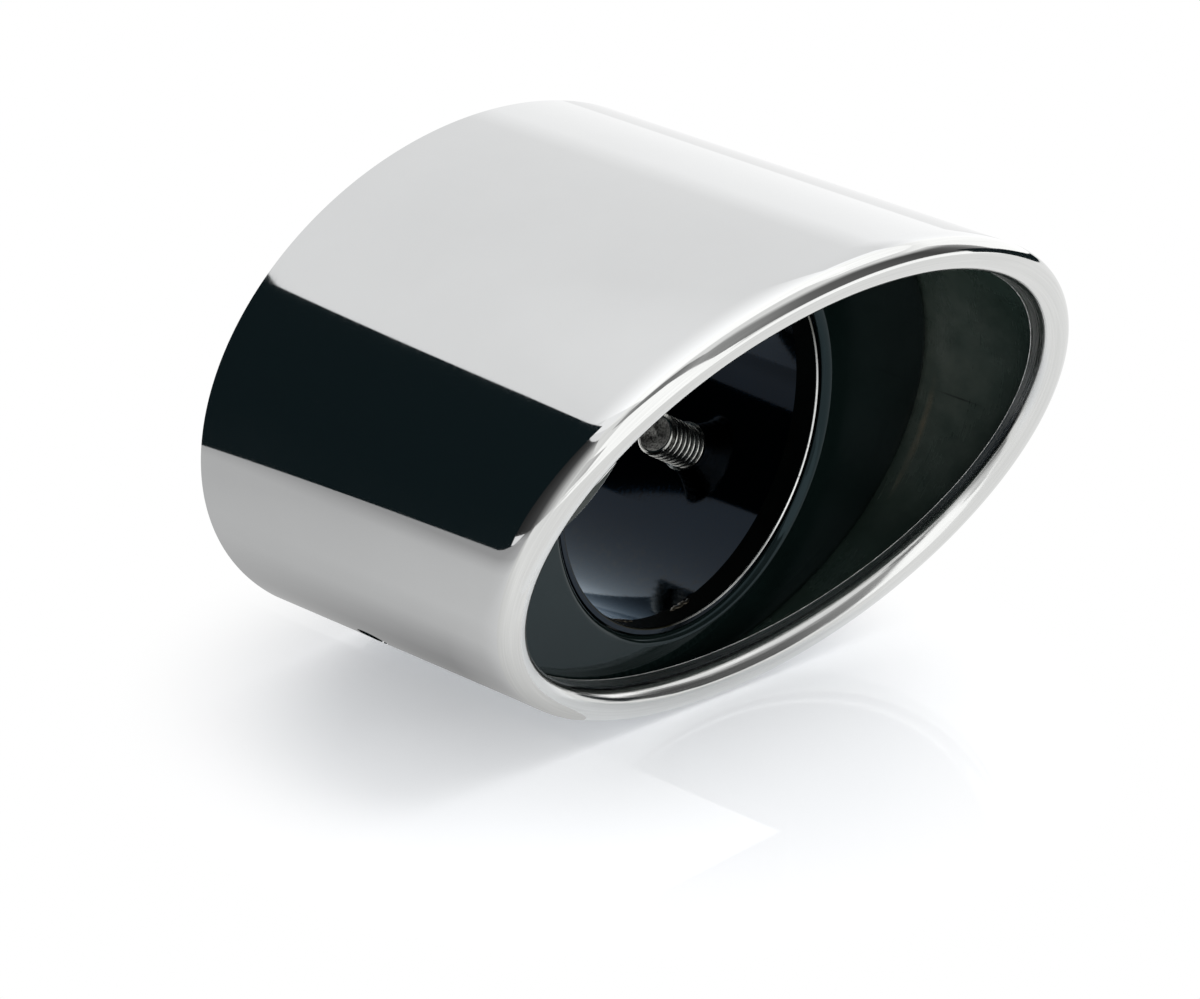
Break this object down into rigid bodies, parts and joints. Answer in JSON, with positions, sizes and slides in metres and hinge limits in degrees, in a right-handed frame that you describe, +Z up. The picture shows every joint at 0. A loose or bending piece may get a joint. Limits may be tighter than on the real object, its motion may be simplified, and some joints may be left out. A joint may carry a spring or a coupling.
{
  "type": "oval exhaust tip",
  "caption": "Oval polished steel exhaust tip with a slanting rolled-in mouth, a flanged inlet plate and a sleeve that clamps the tail pipe with a set screw.",
  "frame": {"origin": "on the clamp sleeve's axis, in the plane of the shell's rear rim, where the tail pipe goes in", "axes": "+X across the oval's long way, +Y the way the tail pipe leaves (the mouth opens towards -Y), +Z up as it lies"},
  "size_m": [0.13, 0.0923, 0.09],
  "materials": {
    "polished_steel": "mirror-polished stainless steel",
    "plate_enamel": "gloss black coat on steel sheet",
    "sleeve_enamel": "satin blue-black coat on tube",
    "fastener_steel": "bright zinc-plated"
  },
  "bodies": {
    "tip": {"outer_shell": "polished_steel", "inlet_plate": "plate_enamel", "clamp_sleeve": "sleeve_enamel", "weld_nut": "fastener_steel"},
    "screw": {"clamp_screw": "fastener_steel"}
  },
  "joints": [
    {"name": "clamp_travel", "type": "slide", "parent": "tip", "child": "screw", "axis": [0.8572, 0, -0.515], "range_m": [-0.006, 0.0094]}
  ]
}
